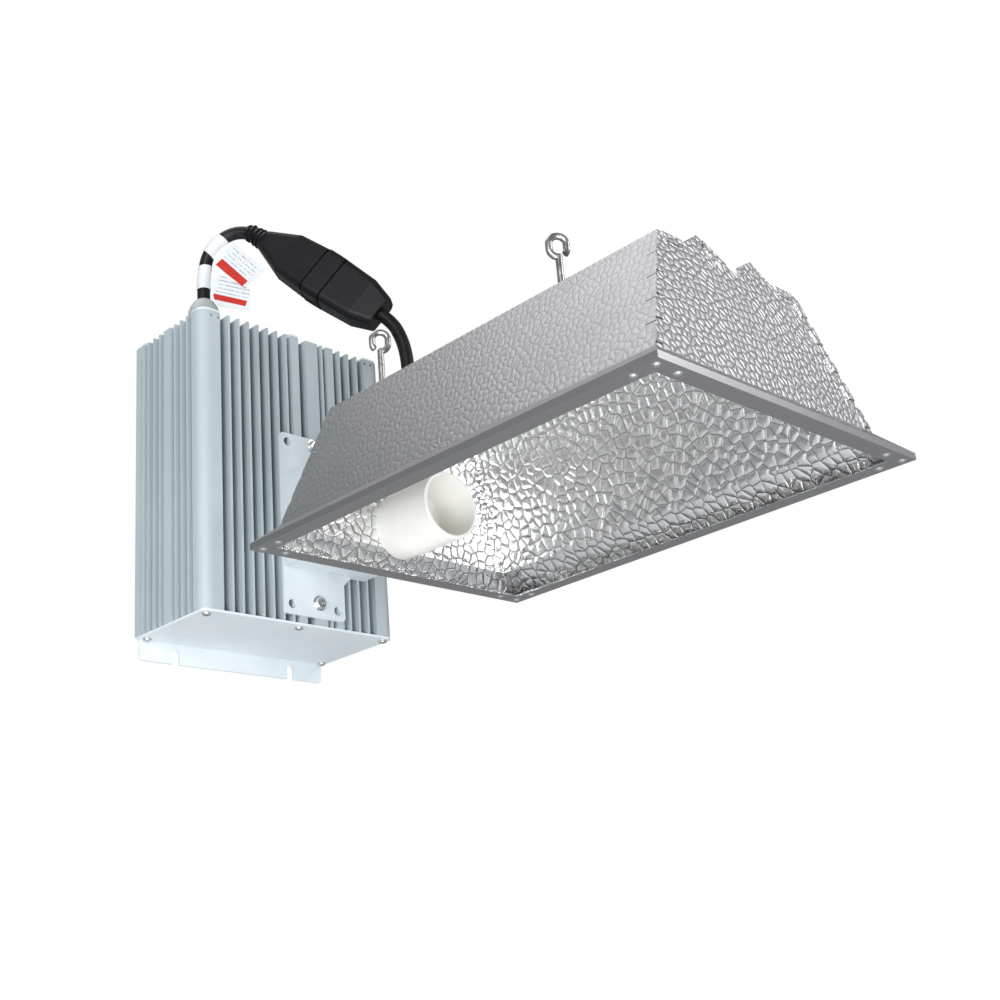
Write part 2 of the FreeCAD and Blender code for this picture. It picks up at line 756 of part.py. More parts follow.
def rivet_spots():
    spots = []
    for x, y, dx, dy in rim_corners():
        for a, b in ((7.0, 7.0), (25.0, 7.5), (7.5, 27.0)):
            spots.append((x + dx * a, y + dy * b))
    return spots


def corner_gussets():
    plates = []
    for x, y, dx, dy in rim_corners():
        e = sheet_thickness + 0.3
        outline = [(e, e), (gusset_leg, e), (gusset_leg, e + gusset_width),
                   (e + gusset_width, e + gusset_width), (e + gusset_width, gusset_leg),
                   (e, gusset_leg)]
        points = [at_hood(x + dx * a, y + dy * b, sheet_thickness) for a, b in outline]
        plate = prism(points, V(0, 0, 1.0))
        for a, b in ((7.0, 7.0), (25.0, 7.5), (7.5, 27.0)):
            plate = plate.cut(Part.makeCylinder(1.6, 4, at_hood(x + dx * a, y + dy * b, -1)))
        plates.append(plate)
    return Part.makeCompound(plates)


def rim_rivets():
    rivets = []
    for x, y in rivet_spots():
        shank = Part.makeCylinder(1.6, sheet_thickness + 1.0, at_hood(x, y, 0))
        top = Part.makeCylinder(2.6, 1.2, at_hood(x, y, sheet_thickness + 1.0))
        head = Part.makeCone(1.9, 3.2, 1.1, at_hood(x, y, -1.1))
        rivets.append(fused([shank, top, head]))
    return Part.makeCompound(rivets)


# --- mounting bracket: a hat section between ballast and hood, closed at one
# side, with its flanges narrower than its webs at the other -----------------
bracket_y = -3.75
flange_half = 32.0
flange_left = bracket_y - flange_half
flange_right = bracket_y + flange_half
web_right = 52.0
web_low = 33.0
web_high = 115.0
flange_low = -8.0
flange_high = 156.0
hood_bolt_spots = [(-28.5, 57.0), (40.0, 57.0), (-28.5, 100.0), (40.0, 100.0)]
socket_z = 40.6


def wall_point(y, z):
    return at_hood(near_wall_x(z), y, z)


def mounting_bracket():
    t = bracket_thickness
    x_face = -ballast_gap + t
    line = [(x_face, flange_high), (x_face, web_high), (near_wall_x(web_high), web_high),
            (near_wall_x(web_low), web_low), (x_face, web_low), (x_face, flange_low)]
    outline = line + sheet_outline(line, t)[::-1]
    points = [at_hood(x, flange_left, z) for x, z in outline]
    bracket = prism(points, V(0, web_right - flange_left, 0))
    front = hood_x - ballast_gap
    for z_fold, z_end, way in ((web_low, flange_low, -1), (web_high, flange_high, 1)):
        shape = [(flange_right + 8.0, z_fold), (flange_right, z_fold + way * 8.0),
                 (flange_right, z_end + way * 1.0), (web_right + 1, z_end + way * 1.0),
                 (web_right + 1, z_fold)]
        points = [V(front - 1, hood_y + y, rim_z + z) for y, z in shape]
        bracket = bracket.cut(prism(points, V(t + 1, 0, 0)))
    cheek = [(x_face - t, web_low), (near_wall_x(web_low), web_low),
             (near_wall_x(web_high), web_high), (x_face - t, web_high)]
    bracket = bracket.fuse(prism([at_hood(x, flange_left, z) for x, z in cheek], V(0, t, 0)))
    bracket = bracket.removeSplitter()
    rounded = []
    for e in bracket.Edges:
        b = e.BoundBox
        at_end = abs(b.ZMin - (rim_z + flange_low)) < 0.01 or \
            abs(b.ZMin - (rim_z + flange_high)) < 0.01
        if at_end and b.ZLength < 0.01 and b.YLength < 0.01:
            rounded.append(e)
    bracket = bracket.makeFillet(4.0, rounded)
    for z in (flange_low + 9.0, flange_high - 8.0):
        for side in (-1, 1):
            y = hood_y + bracket_y + side * 24.0
            bracket = bracket.cut(rod(4.0, V(front - 1, y, rim_z + z),
                                      V(front + t + 1, y, rim_z + z)))
    for z in flange_screw_z:
        bracket = bracket.cut(rod(2.7, V(front - 1, hood_y, z), V(front + t + 1, hood_y, z)))
    spot = hood_route[-1]
    bracket = bracket.cut(Part.makeCylinder(7.5, 12, V(spot.x, spot.y, upper_web_top - 6)))
    window = box(hood_x - 4, hood_x + 22, hood_y - 23.5, hood_y + 23.5,
                 rim_z + web_low + t + 0.8, rim_z + 62)
    bracket = bracket.cut(window)
    slot = box(front + 2.5, front + 7, hood_y + 10, hood_y + 25, rim_z + web_low - 2,
               rim_z + web_low + t + 2)
    bracket = bracket.cut(slot)
    for y, z in hood_bolt_spots:
        centre = wall_point(y, z)
        bracket = bracket.cut(rod(2.6, centre.sub(V(near_outward).multiply(3)),
                                  centre.add(V(near_outward).multiply(6))))
    return bracket


def flange_screws():
    screws = []
    for z in flange_screw_z:
        screw = pan_screw(5.2, 3.4, 2.5, bracket_thickness + 11.0)
        washer = Part.makeCylinder(6.4, 1.0)
        washer.translate(V(0, 0, 0))
        screw.translate(V(0, 0, 1.0))
        screw = screw.fuse(washer).removeSplitter()
        screws.append(place(screw, V(ballast_depth + bracket_thickness, hood_y, z), V(1, 0, 0)))
    return Part.makeCompound(screws)


def hood_bolts():
    bolts = []
    inward = V(near_outward).multiply(-1)
    for y, z in hood_bolt_spots:
        spot = wall_point(y, z).add(V(inward).multiply(sheet_thickness))
        bolt = pan_screw(4.6, 3.0, 2.5, sheet_thickness + bracket_thickness + 6.5)
        bolts.append(place(bolt, spot, inward))
    return Part.makeCompound(bolts)


def hood_nuts():
    nuts = []
    for y, z in hood_bolt_spots:
        nut = hexagon(8.0, 4.0, V(0, 0, 0)).cut(Part.makeCylinder(2.5, 8, V(0, 0, -2)))
        spot = wall_point(y, z).add(V(near_outward).multiply(bracket_thickness))
        nuts.append(place(nut, spot, near_outward))
    return Part.makeCompound(nuts)


# --- lamp socket on the ballast-side end panel -------------------------------
base_front = 24.0
base_back = 15.5
socket_radius = socket_diameter / 2.0
base_radius = socket_radius - 0.8
screw_offset = 18.5


def along_x(radius, x0, x1, y=0.0, z=socket_z):
    return rod(radius, at_hood(x0, y, z), at_hood(x1, y, z))


def socket_spacer():
    ring = along_x(base_radius, 2.0, base_back).cut(along_x(14.0, 0.0, base_back + 1))
    inner = sheet_thickness * math.sqrt(1 + near_end_lean ** 2)
    points = [at_hood(near_wall_x(z) + inner + dx, -30, z)
              for z, dx in ((0.0, 0.0), (0.0, 40.0), (80.0, 40.0), (80.0, 0.0))]
    ring = ring.common(prism(points, V(0, 60, 0)))
    for side in (-1, 1):
        ring = ring.cut(along_x(2.0, 0, base_back + 1, side * screw_offset))
    return ring


def socket_base():
    base = along_x(base_radius, base_back, base_front)
    for side in (-1, 1):
        base = base.cut(along_x(2.0, base_back - 1, base_front - 1.5, side * screw_offset))
        base = base.cut(along_x(2.2, base_back - 1, base_front + 1, side * 9.0, socket_z + 4))
    return base


def socket_shell():
    x1 = base_front + socket_length
    shell = along_x(socket_radius, base_front, x1)
    rims = [e for e in shell.Edges if e.BoundBox.XLength < 0.01]
    shell = shell.makeFillet(1.2, rims)
    shell = shell.cut(along_x(socket_radius - 2.6, base_front + 7, x1 + 1))
    boss = along_x(11.0, base_front + 6, base_front + 13)
    shell = shell.fuse(boss)
    for side in (-1, 1):
        slot = box(hood_x + base_front - 1, hood_x + base_front + 14,
                   hood_y + side * 9.0 - 2.6, hood_y + side * 9.0 + 2.6,
                   rim_z + socket_z - 6, rim_z + socket_z + 6)
        shell = shell.cut(slot)
    lower = box(hood_x + base_front + 5, hood_x + base_front + 20, hood_y - 6, hood_y + 6,
                rim_z + socket_z - 22.0, rim_z + socket_z - 15.0)
    shell = shell.cut(lower)
    return shell.removeSplitter()


def socket_contacts():
    contacts = []
    for side in (-1, 1):
        y = hood_y + side * 9.0
        x0 = hood_x + base_front
        z = rim_z + socket_z
        leaf = box(x0, x0 + 11, y - 2.2, y - 1.4, z - 5, z + 5)
        other = box(x0, x0 + 11, y + 1.4, y + 2.2, z - 5, z + 5)
        back = box(x0, x0 + 0.8, y - 2.2, y + 2.2, z - 5, z + 5)
        contacts.append(fused([leaf, other, back]))
    return Part.makeCompound(contacts)


def socket_screws():
    screws = []
    for side in (-1, 1):
        x_head = near_wall_x(socket_z) - 0.6
        length = base_front - 2.0 - x_head
        screw = pan_screw(3.8, 2.4, 2.0, length)
        screws.append(place(screw, at_hood(x_head, side * screw_offset, socket_z), V(-1, 0, 0)))
    return Part.makeCompound(screws)


wire_radius = 1.4


def lamp_wires():
    wires = []
    spot = hood_route[-1]
    for side in (-1, 1):
        route = [V(spot.x, spot.y + side * 2.2, spot.z),
                 V(spot.x, spot.y + side * 2.2, spot.z - 14),
                 V(spot.x - 3, spot.y + side * 2.2 - 6, spot.z - 30),
                 V(spot.x - 5, spot.y + side * 2.2 - 14, spot.z - 44),
                 V(spot.x - 1, hood_y + side * 3.0 + 3, rim_z + socket_z + 9),
                 at_hood(9.0, side * 3.0, socket_z + 4), at_hood(base_back, side * 3.0,
                                                                 socket_z + 4)]
        wires.append(cord_tube(route, wire_radius, "lamp_wire"))
    return Part.makeCompound(wires)


# --- eye bolts: bent wire eyes on threaded shanks through the roof -----------
ring_radius = 6.2
ring_straight = 4.0
eye_heights = [53.5, 48.3, 51.0, 51.0]
eye_turns = [52.0, 232.0, 52.0, 232.0]


def eye_bolt(index):
    x, y = eye_spots[index]
    r = ring_radius
    bottom = shoulder_z + eye_heights[index] - eye_wire / 2 - 2 * r - ring_straight
    turn = math.radians(eye_turns[index])

    def spot(u, z):
        return at_hood(x + u * math.cos(turn), y + u * math.sin(turn), bottom + z)

    def on_circle(cz, degrees):
        a = math.radians(degrees)
        return spot(r * math.cos(a), cz + r * math.sin(a))

    lower = Part.Arc(on_circle(r, -90), on_circle(r, -45), on_circle(r, 0)).toShape()
    right = Part.LineSegment(on_circle(r, 0), spot(r, r + ring_straight)).toShape()
    top = Part.Arc(spot(r, r + ring_straight), spot(0, 2 * r + ring_straight),
                   spot(-r, r + ring_straight)).toShape()
    left = Part.LineSegment(spot(-r, r + ring_straight), spot(-r, r)).toShape()
    hook = Part.Arc(on_circle(r, 180), on_circle(r, 200), on_circle(r, 221)).toShape()
    path = Part.Wire([lower, right, top, left, hook])
    start = spot(0, 0)
    tangent = V(math.cos(turn), math.sin(turn), 0)
    profile = Part.Wire([Part.makeCircle(eye_wire / 2, start, tangent)])
    ring = path.makePipeShell([profile], True, False)
    shank = rod(eye_wire / 2, at_hood(x, y, shoulder_z - 12.0), spot(0, 0.4))
    knuckle = Part.makeSphere(eye_wire / 2, start)
    return fused([ring, shank, knuckle])


def eye_nuts():
    nuts = []
    for x, y in eye_spots:
        for z in (shoulder_z + 1.0, shoulder_z - sheet_thickness - 1.0 - 4.0):
            nut = hexagon(8.0, 4.0, at_hood(x, y, z))
            nuts.append(nut.cut(Part.makeCylinder(2.56, 8, at_hood(x, y, z - 2))))
    return Part.makeCompound(nuts)


def eye_washers():
    washers = []
    for x, y in eye_spots:
        for z in (shoulder_z, shoulder_z - sheet_thickness - 1.0):
            washer = Part.makeCylinder(6.0, 1.0, at_hood(x, y, z))
            washers.append(washer.cut(Part.makeCylinder(2.65, 4, at_hood(x, y, z - 2))))
    return Part.makeCompound(washers)


# --- flag labels wrapped round the lead --------------------------------------
label_thickness = 0.4


def flag_label(region, corners, out):
    # The wrap follows the lead inside the region; the flag hangs from it in
    # an upright sheet that stands off the route's plane by out.
    outer = cord_tube(lead_route, cord_radius + label_thickness, "label wrap")
    points = [in_plane(s, z, -18.0) for s, z in region]
    wrap = outer.common(prism(points, V(side_way).multiply(34.0)))
    points = [in_plane(s, z, out - label_thickness / 2) for s, z in corners]
    flag = prism(points, V(side_way).multiply(label_thickness))
    label = wrap.fuse(flag)
    return label.cut(cord_tube(lead_route, cord_radius, "label bore")).removeSplitter()


def label_lower():
    z = half_height
    return flag_label([(-22.0, z + 40.5), (6.0, z + 40.5), (6.0, z + 62.5), (-22.0, z + 62.5)],
                      [(-6.0, z + 60.0), (0.2, z + 59.5), (33.2, z + 36.5), (32.8, z + 14.9),
                       (4.6, z + 22.9), (1.4, z + 28.5), (-1.6, z + 42.0), (-6.0, z + 43.0)],
                      -7.6)


def label_upper():
    z = half_height
    return flag_label([(-11.0, z + 82.0), (6.5, z + 64.2), (19.1, z + 80.1), (4.5, z + 93.9)],
                      [(3.5, z + 61.8), (28.7, z + 37.0), (37.1, z + 41.5), (48.7, z + 52.1),
                       (21.9, z + 80.8), (15.4, z + 83.3), (8.0, z + 85.0), (0.0, z + 77.5)],
                      -3.3)


nodes = {
    "ballast_housing": ballast_housing,
    "ballast_bottom_plate": bottom_plate,
    "ballast_top_plate": top_plate,
    "bottom_plate_screws": lambda: plate_screws(False),
    "top_plate_screws": lambda: plate_screws(True),
    "mains_inlet": mains_inlet,
    "inlet_pins": inlet_pins,
    "inlet_screws": inlet_screws,
    "cable_gland": cable_gland,
    "gland_locknut": gland_locknut,
    "ballast_board": ballast_board,
    "board_standoffs": board_standoffs,
    "ballast_choke": ballast_choke,
    "ballast_transformer": ballast_transformer,
    "ballast_capacitors": ballast_capacitors,
    "ballast_lead": ballast_lead,
    "lead_relief_upper": lead_relief_upper,
    "connector_receptacle": connector_receptacle,
    "connector_plug": connector_plug,
    "connector_pins": connector_pins,
    "connector_latch_upper": lambda: connector_latch(1),
    "connector_latch_lower": lambda: connector_latch(-1),
    "hood_lead": hood_lead,
    "lead_grommet": lead_grommet,
    "lamp_wires": lamp_wires,
    "label_lower": label_lower,
    "label_upper": label_upper,
    "mounting_bracket": mounting_bracket,
    "flange_screws": flange_screws,
    "hood_bolts": hood_bolts,
    "hood_nuts": hood_nuts,
    "hood_body": hood_body,
    "hood_end_ballast_side": lambda: end_panel_near(),
    "hood_end_far_side": lambda: end_panel(False),
    "corner_gussets": corner_gussets,
    "rim_rivets": rim_rivets,
    "socket_spacer": socket_spacer,
    "socket_base": socket_base,
    "socket_shell": socket_shell,
    "socket_contacts": socket_contacts,
    "socket_screws": socket_screws,
    "eye_bolt_near_left": lambda: eye_bolt(0),
    "eye_bolt_near_right": lambda: eye_bolt(1),
    "eye_bolt_far_left": lambda: eye_bolt(2),
    "eye_bolt_far_right": lambda: eye_bolt(3),
    "eye_nuts": eye_nuts,
    "eye_washers": eye_washers,
}


def end_panel_near():
    panel = end_panel(True)
    for y, z in hood_bolt_spots:
        centre = wall_point(y, z)
        panel = panel.cut(rod(2.5, centre.sub(V(near_outward).multiply(3)),
                              centre.add(V(near_outward).multiply(3))))
    for side in (-1, 1):
        panel = panel.cut(along_x(2.0, 0, 20, side * screw_offset))
    return panel.cut(along_x(6.0, 0, 20, 0.0, socket_z + 4))


for name, build in nodes.items():
    save(build(), name)
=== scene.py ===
import bmesh
import bpy
import math
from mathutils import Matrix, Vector


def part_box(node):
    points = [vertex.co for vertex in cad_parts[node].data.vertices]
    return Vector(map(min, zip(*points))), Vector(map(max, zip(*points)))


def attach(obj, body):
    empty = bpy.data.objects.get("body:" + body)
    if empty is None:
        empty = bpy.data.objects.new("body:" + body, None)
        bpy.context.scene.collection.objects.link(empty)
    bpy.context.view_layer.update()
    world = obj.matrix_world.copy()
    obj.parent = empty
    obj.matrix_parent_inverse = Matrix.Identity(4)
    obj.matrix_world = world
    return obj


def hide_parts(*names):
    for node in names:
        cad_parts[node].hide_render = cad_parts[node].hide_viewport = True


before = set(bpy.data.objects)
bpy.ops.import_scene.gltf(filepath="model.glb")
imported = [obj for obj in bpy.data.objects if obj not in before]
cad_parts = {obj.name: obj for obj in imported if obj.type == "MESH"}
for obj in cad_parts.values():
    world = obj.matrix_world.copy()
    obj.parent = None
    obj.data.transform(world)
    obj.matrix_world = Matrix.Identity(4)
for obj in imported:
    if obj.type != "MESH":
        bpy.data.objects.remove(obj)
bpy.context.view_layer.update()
scene = bpy.context.scene
scene.view_settings.view_transform = "Standard"


# --- Camera ------------------------------------------------------------------
# It stands low in front of the far corner and looks up into the open hood.
camera = bpy.data.objects.new("camera", bpy.data.cameras.new("camera"))
camera.data.lens = 52.13
camera.data.clip_end = 60.0
camera.location = (1.04076, -0.72381, -0.46812)
camera.rotation_euler = [math.radians(a) for a in (110.166, 4.579, 45.649)]
scene.collection.objects.link(camera)
scene.camera = camera


class Tone:
    """A value, vector or colour on its way through a finish's nodes."""

    def __init__(self, tree, socket):
        self.tree = tree
        self.socket = socket

    def node(self, kind, settings=(), sockets=(), out=0):
        made = self.tree.nodes.new("ShaderNode" + kind)
        for name, value in dict(settings).items():
            if name == "stops":
                while len(made.color_ramp.elements) < len(value):
                    made.color_ramp.elements.new(0.5)
                for stop, (place, colour) in zip(made.color_ramp.elements, value):
                    stop.position = place
                    stop.color = colour
            else:
                setattr(made, name, value)
        for name, value in dict(sockets).items():
            if isinstance(value, Tone):
                self.tree.links.new(value.socket, made.inputs[name])
            else:
                made.inputs[name].default_value = value
        return Tone(self.tree, made.outputs[out])

    def sum(self, operation, *values):
        return self.node("Math", {"operation": operation}, dict(enumerate(values)))

    def __add__(self, other):
        return self.sum("ADD", self, other)

    __radd__ = __add__

    def __sub__(self, other):
        return self.sum("SUBTRACT", self, other)

    def __rsub__(self, other):
        return self.sum("SUBTRACT", other, self)

    def __mul__(self, other):
        return self.sum("MULTIPLY", self, other)

    __rmul__ = __mul__

    def __truediv__(self, other):
        return self.sum("DIVIDE", self, other)

    def __abs__(self):
        return self.sum("ABSOLUTE", self)

    def least(self, other):
        return self.sum("MINIMUM", self, other)

    def most(self, other):
        return self.sum("MAXIMUM", self, other)

    def axes(self):
        parts = self.node("SeparateXYZ", {}, {0: self})
        made = parts.socket.node
        return [Tone(self.tree, made.outputs[i]) for i in range(3)]

    def ease(self, low, high):
        """0 below low, 1 above high, and smooth between."""
        return self.node("MapRange", {"interpolation_type": "SMOOTHSTEP"},
                         {"Value": self, "From Min": low, "From Max": high})

    def blend(self, dark, light):
        """A colour that goes from dark to light as this value goes from 0 to 1."""
        return self.node("Mix", {"data_type": "RGBA"}, {0: self, 6: dark, 7: light}, 2)

    def grain(self, per_metre, detail=2.0, rough=0.5):
        return self.node("TexNoise", {}, {"Vector": self, "Scale": per_metre, "Detail": detail,
                                          "Roughness": rough})

    def dent(self, depth, normal=None):
        """This value as a height, in depth metres."""
        sockets = {"Strength": 1.0, "Distance": depth, "Height": self}
        if normal is not None:
            sockets["Normal"] = normal
        return self.node("Bump", {}, sockets)


def finish(name, fixed, look):
    """A finish: fixed numbers stay on the shader, and look() says what varies over it."""
    material = bpy.data.materials.new(name)
    material.use_nodes = True
    tree = material.node_tree
    shader = tree.nodes["Principled BSDF"]
    for socket, value in fixed.items():
        shader.inputs[socket].default_value = value
    where = tree.nodes.new("ShaderNodeTexCoord")
    place = Tone(tree, where.outputs["Object"])
    facing = Tone(tree, where.outputs["Normal"])
    for socket, tone in look(place, facing).items():
        tree.links.new(tone.socket, shader.inputs[socket])
    return material


def coat(material, *nodes):
    for name in nodes:
        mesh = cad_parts[name].data
        mesh.materials.clear()
        mesh.materials.append(material)


# --- Leads -------------------------------------------------------------------
# A black round rubber flex comes up out of the ballast's gland into the
# connector, and a second one goes from the connector down to the bracket.
def rubber_look(place, facing):
    scuff = place.grain(90.0, 3.0)
    fine = place.grain(1400.0, 1.0)
    return {"Base Color": scuff.ease(0.35, 0.75).blend((0.004, 0.004, 0.005, 1),
                                                       (0.010, 0.010, 0.011, 1)),
            "Roughness": 0.34 + scuff * 0.16,
            "Normal": fine.dent(0.00006)}


rubber = finish("black_rubber", {"Specular IOR Level": 0.3}, rubber_look)
jacket = 0.0115
gland_lead_route = [(0.0632, -0.0694, 0.14175), (0.063349, -0.069282, 0.15725),
                    (0.063183, -0.069551, 0.17375), (0.064527, -0.069603, 0.19015),
                    (0.067024, -0.069478, 0.20335), (0.071956, -0.067589, 0.21335),
                    (0.079361, -0.063514, 0.22115), (0.087972, -0.057916, 0.22595),
                    (0.096724, -0.05155, 0.22665), (0.105452, -0.044685, 0.22275),
                    (0.112531, -0.0388, 0.215387), (0.117777, -0.034439, 0.209517)]
hood_lead_route = [(0.188192, 0.024098, 0.130727), (0.19861, 0.032759, 0.119074),
                   (0.204574, 0.037717, 0.1015), (0.207265, 0.039954, 0.084),
                   (0.207727, 0.040338, 0.062), (0.207265, 0.039954, 0.036),
                   (0.207188, 0.03989, 0.01), (0.207188, 0.03989, -0.01725)]


def flex(name, route, diameter, material, node):
    line = bpy.data.curves.new(name, "CURVE")
    line.dimensions = "3D"
    line.bevel_depth = diameter / 2
    line.bevel_resolution = 8
    line.use_fill_caps = True
    line.resolution_u = 16
    run = line.splines.new("NURBS")
    run.points.add(len(route) - 1)
    for point, spot in zip(run.points, route):
        point.co = (*spot, 1.0)
    run.order_u = 3
    run.use_endpoint_u = True
    line.materials.append(material)
    piece = bpy.data.objects.new(name, line)
    scene.collection.objects.link(piece)
    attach(piece, "lamp")
    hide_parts(node)
    return piece


gland_lead = flex("gland_lead", gland_lead_route, jacket, rubber, "ballast_lead")
bracket_lead = flex("bracket_lead", hood_lead_route, jacket, rubber, "hood_lead")


# --- Lamp wires --------------------------------------------------------------
# Two insulated wires leave the end of the jacket inside the bracket and go
# through the hood's end panel into the back of the socket.
def silicone_look(place, facing):
    shade = place.grain(120.0, 2.0)
    return {"Base Color": shade.blend((0.62, 0.60, 0.55, 1), (0.78, 0.77, 0.72, 1)),
            "Roughness": 0.4 + shade * 0.15}


silicone = finish("wire_silicone", {}, silicone_look)
wire_jacket = 0.0028
for turn, offset in (("left", -1), ("right", 1)):
    side = 0.0022 * offset
    wire_route = [(0.207188, 0.03989 + side, -0.01725), (0.207188, 0.03989 + side, -0.03125),
                  (0.204188, 0.03389 + side, -0.04725), (0.202188, 0.02589 + side, -0.06125),
                  (0.206188, 0.01775 + 0.003 * offset, -0.07065),
                  (0.212, 0.01475 + 0.003 * offset, -0.07565),
                  (0.2185, 0.01475 + 0.003 * offset, -0.07565)]
    flex("lamp_wire_" + turn, wire_route, wire_jacket, silicone, "lamp_wires")


# --- Ballast -----------------------------------------------------------------
# One finned aluminium extrusion with two folded end plates, powder coated in
# a pale cool grey.  Dust and painted shade darken the feet of the fins.
housing_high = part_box("ballast_housing")[1]


def fin_paint_look(place, facing):
    x, y, z = place.axes()
    cloud = place.grain(14.0, 4.0)
    peel = place.grain(900.0, 2.0)
    speck = place.grain(2600.0, 0.0).ease(0.70, 0.78)
    # Darker towards the feet of the fins: part dust, part painted shade.
    front = housing_high.x - x
    side = housing_high.y - abs(y)
    depth = front.least(side).ease(0.0015, 0.0145)
    shade = depth * 0.75 + cloud * 0.25
    return {"Base Color": (shade + speck * 0.08).blend((0.45, 0.515, 0.54, 1),
                                                      (0.20, 0.245, 0.265, 1)),
            "Roughness": 0.40 + cloud * 0.14,
            "Normal": peel.dent(0.00010)}


coat(finish("fin_paint", {}, fin_paint_look), "ballast_housing")


def plate_look(place, facing):
    cloud = place.grain(18.0, 4.0)
    peel = place.grain(900.0, 2.0)
    return {"Base Color": cloud.ease(0.3, 0.8).blend((0.74, 0.79, 0.82, 1), (0.66, 0.72, 0.76, 1)),
            "Roughness": 0.38 + cloud * 0.14,
            "Normal": peel.dent(0.00009)}


coat(finish("plate_paint", {}, plate_look), "ballast_top_plate", "ballast_bottom_plate")


# --- Bracket -----------------------------------------------------------------
# A folded sheet hat bracket, powder coated in a slightly deeper grey, that
# is screwed to the ballast's front and bolted to the hood's end panel.
def bracket_look(place, facing):
    cloud = place.grain(22.0, 4.0)
    peel = place.grain(1000.0, 2.0)
    return {"Base Color": cloud.ease(0.3, 0.8).blend((0.68, 0.73, 0.76, 1), (0.58, 0.64, 0.68, 1)),
            "Roughness": 0.36 + cloud * 0.14,
            "Normal": peel.dent(0.00009)}


coat(finish("bracket_paint", {}, bracket_look), "mounting_bracket")


# --- Screws, bolts and nuts --------------------------------------------------
# Zinc-plated steel, bright with a faint clouding.  They hold the ballast's
# plates, the bracket, the hood and the lamp socket together.
def zinc_look(place, facing):
    cloud = place.grain(260.0, 3.0)
    return {"Base Color": cloud.ease(0.3, 0.75).blend((0.62, 0.63, 0.64, 1), (0.80, 0.80, 0.79, 1)),
            "Roughness": 0.22 + cloud * 0.22,
            "Normal": place.grain(2200.0, 1.0).dent(0.00004)}


coat(finish("zinc_plate", {"Metallic": 1.0}, zinc_look),
     "bottom_plate_screws", "top_plate_screws", "inlet_screws", "flange_screws", "hood_bolts",
     "hood_nuts", "eye_nuts", "eye_washers", "socket_screws")


# --- Gland -------------------------------------------------------------------
# A light grey moulded nylon gland that grips the lead, screwed through the
# ballast's top plate and held by a locknut under it.
def nylon_look(place, facing):
    cloud = place.grain(150.0, 3.0)
    return {"Base Color": cloud.blend((0.40, 0.43, 0.44, 1), (0.50, 0.53, 0.54, 1)),
            "Roughness": 0.42 + cloud * 0.12,
            "Normal": place.grain(1500.0, 1.0).dent(0.00004)}


coat(finish("grey_nylon", {}, nylon_look), "cable_gland", "gland_locknut")


# --- Mains inlet -------------------------------------------------------------
# A black moulded appliance inlet with three brass pins, let into the top
# plate and held by two screws.  The connector is the same moulding.
def moulding_look(place, facing):
    cloud = place.grain(60.0, 3.0)
    spark = place.grain(1100.0, 1.0)
    return {"Base Color": cloud.blend((0.003, 0.003, 0.004, 1), (0.008, 0.008, 0.009, 1)),
            "Roughness": 0.36 + cloud * 0.16,
            "Normal": spark.dent(0.00008)}


moulding = finish("black_moulding", {"Specular IOR Level": 0.25}, moulding_look)
coat(moulding, "mains_inlet", "lead_grommet", "lead_relief_upper", "connector_receptacle",
     "connector_plug", "connector_latch_upper", "connector_latch_lower")


def brass_look(place, facing):
    cloud = place.grain(300.0, 3.0)
    return {"Base Color": cloud.blend((0.62, 0.42, 0.16, 1), (0.78, 0.58, 0.28, 1)),
            "Roughness": 0.25 + cloud * 0.2}


coat(finish("brass", {"Metallic": 1.0}, brass_look),
     "inlet_pins", "connector_pins", "socket_contacts", "board_standoffs")


# --- Electronics inside the housing ------------------------------------------
# A green circuit board on brass posts carries a copper-wound choke and
# transformer and three dark capacitor cans.
def board_look(place, facing):
    cloud = place.grain(80.0, 3.0)
    return {"Base Color": cloud.blend((0.02, 0.10, 0.05, 1), (0.03, 0.16, 0.08, 1)),
            "Roughness": 0.35 + cloud * 0.2}


def winding_look(place, facing):
    x = place.axes()[0]
    turns = x * 5200.0
    turns = turns.sum("SINE", turns)
    return {"Base Color": turns.ease(-0.5, 1.0).blend((0.25, 0.09, 0.03, 1), (0.62, 0.28, 0.12, 1)),
            "Roughness": 0.3 + turns * 0.05}


def can_look(place, facing):
    cloud = place.grain(90.0, 3.0)
    return {"Base Color": cloud.blend((0.02, 0.03, 0.08, 1), (0.04, 0.06, 0.14, 1)),
            "Roughness": 0.3 + cloud * 0.15}


coat(finish("circuit_board", {}, board_look), "ballast_board")
coat(finish("copper_winding", {"Metallic": 0.6}, winding_look), "ballast_choke",
     "ballast_transformer")
coat(finish("capacitor_can", {}, can_look), "ballast_capacitors")


# --- Hood --------------------------------------------------------------------
# Hammered aluminium sheet: bright inside with broad pebbles, duller outside
# with a finer grain, plain along the skirt and the rim.  Painted shade darkens
# the pebbles' valleys, and painted light lifts the outer faces of the end panels.
hood_low, hood_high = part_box("hood_body")
skirt_height = 0.022
hood_middle = ((hood_low.x + hood_high.x) / 2, (hood_low.y + hood_high.y) / 2,
               hood_low.z + 0.045)


def hammered(flat, pitch):
    """Round-topped pebbles about pitch metres across, in the plane of flat."""
    gap = flat.node("TexVoronoi", {"voronoi_dimensions": "2D", "feature": "DISTANCE_TO_EDGE"},
                    {"Vector": flat, "Scale": 1.0 / pitch, "Randomness": 0.78})
    fall = 1.0 - (gap / 0.46).least(1.0)
    return 1.0 - fall * fall, gap.ease(-0.01, 0.085)


